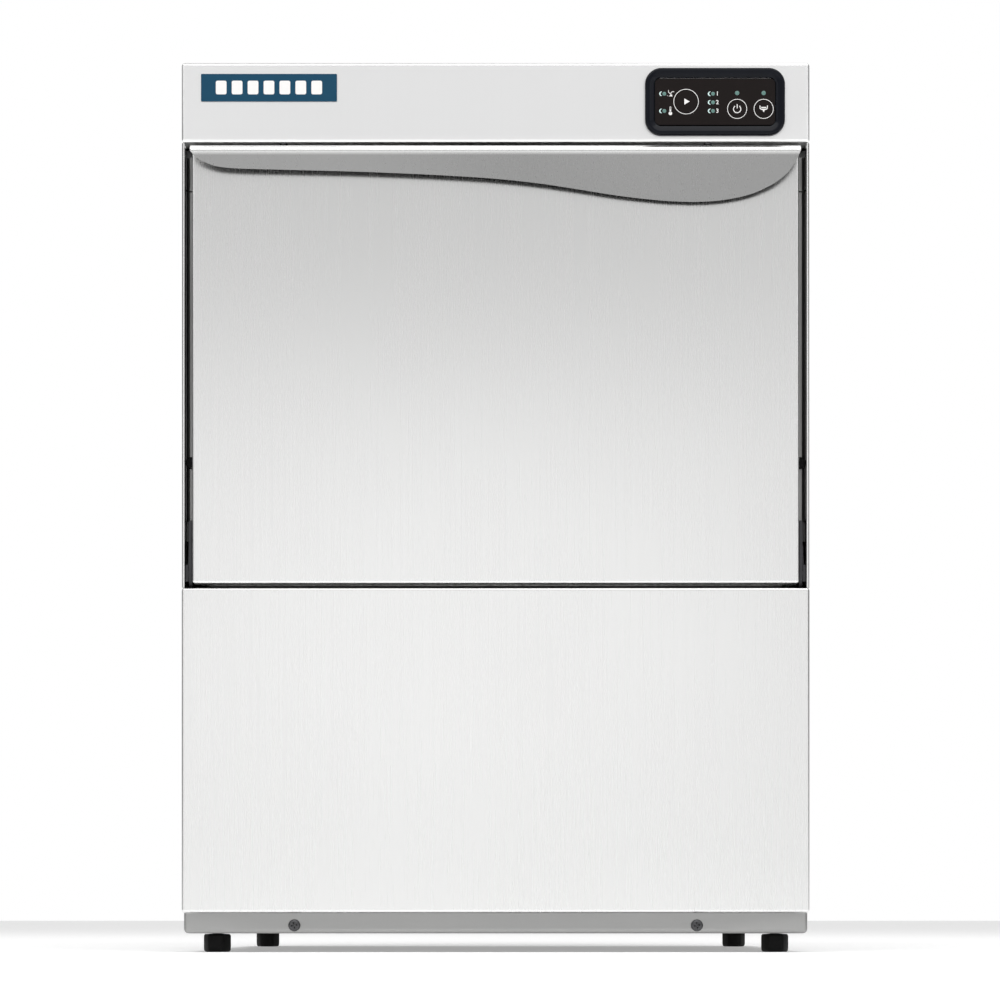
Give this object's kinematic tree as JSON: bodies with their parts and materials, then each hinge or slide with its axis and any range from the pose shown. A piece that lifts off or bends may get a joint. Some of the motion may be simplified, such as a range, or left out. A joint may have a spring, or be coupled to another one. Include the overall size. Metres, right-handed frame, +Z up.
{
  "type": "commercial undercounter dishwasher",
  "caption": "Front-loading under-counter commercial dishwasher: brushed steel cabinet, drop-down door with a wavy bent handle lip, fascia with controls, rack chamber, spray arms and wash pump.",
  "frame": {"origin": "centre of the footprint (handle and rear connections included) on the floor under the feet", "axes": "+X towards the right seen from the front, +Y towards the back, +Z up; the door faces -Y"},
  "size_m": [0.6, 0.5999, 0.85],
  "materials": {
    "brushed_steel": "fine vertical grain, satin",
    "chamber_steel": "cold-rolled, semi-bright",
    "zinc_steel": "zinc plated, dull",
    "dark_steel": "drawn wire and sheathed tube",
    "brass": "machined",
    "motor_paint": "dark grey paint",
    "pump_casting": "cast",
    "black_gloss": "glossy moulding",
    "overlay_film": "satin film",
    "black_plastic": "moulded",
    "grey_plastic": "moulded polypropylene",
    "blue_badge": "printed badge, no lettering",
    "light_guide": "clear moulding",
    "board_green": "circuit board",
    "rubber": "moulded seal and hose"
  },
  "bodies": {
    "cabinet": {"base_tray": "brushed_steel", "side_panel_left": "brushed_steel", "side_panel_right": "brushed_steel", "top_cover": "brushed_steel", "lower_front_panel": "brushed_steel", "control_fascia": "brushed_steel", "chamber_hood": "chamber_steel", "front_frame": "chamber_steel", "wash_tank": "chamber_steel", "tank_filter": "chamber_steel", "sump_filter": "chamber_steel", "rack_rail_left": "chamber_steel", "rack_rail_right": "chamber_steel", "riser_pipe": "chamber_steel", "boiler": "chamber_steel", "back_panel": "zinc_steel", "hinge_bracket_left": "zinc_steel", "hinge_bracket_right": "zinc_steel", "panel_screw_left": "zinc_steel", "panel_screw_right": "zinc_steel", "tank_heater": "dark_steel", "door_spring_left": "dark_steel", "door_spring_right": "dark_steel", "boiler_heater": "brass", "wash_pump_motor": "motor_paint", "drain_pump": "pump_casting", "control_bezel": "black_gloss", "control_overlay": "overlay_film", "foot_front_left": "black_plastic", "foot_front_right": "black_plastic", "foot_rear_left": "black_plastic", "foot_rear_right": "black_plastic", "rinse_aid_dispenser": "black_plastic", "cable_gland": "black_plastic", "wash_pump_volute": "grey_plastic", "lower_arm_post": "grey_plastic", "upper_arm_post": "grey_plastic", "lower_arm_nut": "grey_plastic", "upper_arm_nut": "grey_plastic", "water_inlet_valve": "grey_plastic", "drain_outlet": "grey_plastic", "nameplate": "blue_badge", "light_guide": "light_guide", "control_board": "board_green", "suction_elbow": "rubber", "feed_pipe": "rubber"},
    "door": {"door_outer_skin": "brushed_steel", "door_inner_skin": "chamber_steel", "door_handle": "brushed_steel", "door_gasket": "rubber", "hinge_arm_left": "zinc_steel", "hinge_arm_right": "zinc_steel"},
    "start_cap": {"start_button": "overlay_film"},
    "power_cap": {"power_button": "overlay_film"},
    "drain_cap": {"drain_button": "overlay_film"},
    "lower_wash_rotor": {"lower_wash_arm": "chamber_steel"},
    "lower_rinse_rotor": {"lower_rinse_arm": "chamber_steel"},
    "upper_wash_rotor": {"upper_wash_arm": "chamber_steel"},
    "upper_rinse_rotor": {"upper_rinse_arm": "chamber_steel"},
    "pump_rotor": {"wash_pump_impeller": "black_plastic"}
  },
  "joints": [
    {"name": "door_hinge", "type": "hinge", "parent": "cabinet", "child": "door", "pos_m": [0, -0.277, 0.3627], "axis": [1, 0, 0], "range_deg": [0, 90], "stiffness_Nm_per_rad": 4.5, "springref_deg": -17.19, "deforming": ["door_spring_left", "door_spring_right"]},
    {"name": "start_press", "type": "slide", "parent": "cabinet", "child": "start_cap", "axis": [0, 1, 0], "range_m": [0, 0.0008], "stiffness_N_per_m": 2000, "springref_m": -0.0005},
    {"name": "power_press", "type": "slide", "parent": "cabinet", "child": "power_cap", "axis": [0, 1, 0], "range_m": [0, 0.0008], "stiffness_N_per_m": 2000, "springref_m": -0.0005},
    {"name": "drain_press", "type": "slide", "parent": "cabinet", "child": "drain_cap", "axis": [0, 1, 0], "range_m": [0, 0.0008], "stiffness_N_per_m": 2000, "springref_m": -0.0005},
    {"name": "lower_wash_spin", "type": "hinge", "parent": "cabinet", "child": "lower_wash_rotor", "pos_m": [0, 0, 0.372], "axis": [0, 0, 1], "continuous": true},
    {"name": "lower_rinse_spin", "type": "hinge", "parent": "cabinet", "child": "lower_rinse_rotor", "pos_m": [0, 0, 0.3875], "axis": [0, 0, 1], "continuous": true},
    {"name": "upper_wash_spin", "type": "hinge", "parent": "cabinet", "child": "upper_wash_rotor", "pos_m": [0, 0, 0.7497], "axis": [0, 0, 1], "continuous": true},
    {"name": "upper_rinse_spin", "type": "hinge", "parent": "cabinet", "child": "upper_rinse_rotor", "pos_m": [0, 0, 0.7342], "axis": [0, 0, 1], "continuous": true},
    {"name": "pump_spin", "type": "hinge", "parent": "cabinet", "child": "pump_rotor", "pos_m": [-0.068, 0.11, 0.125], "axis": [1, 0, 0], "continuous": true}
  ]
}
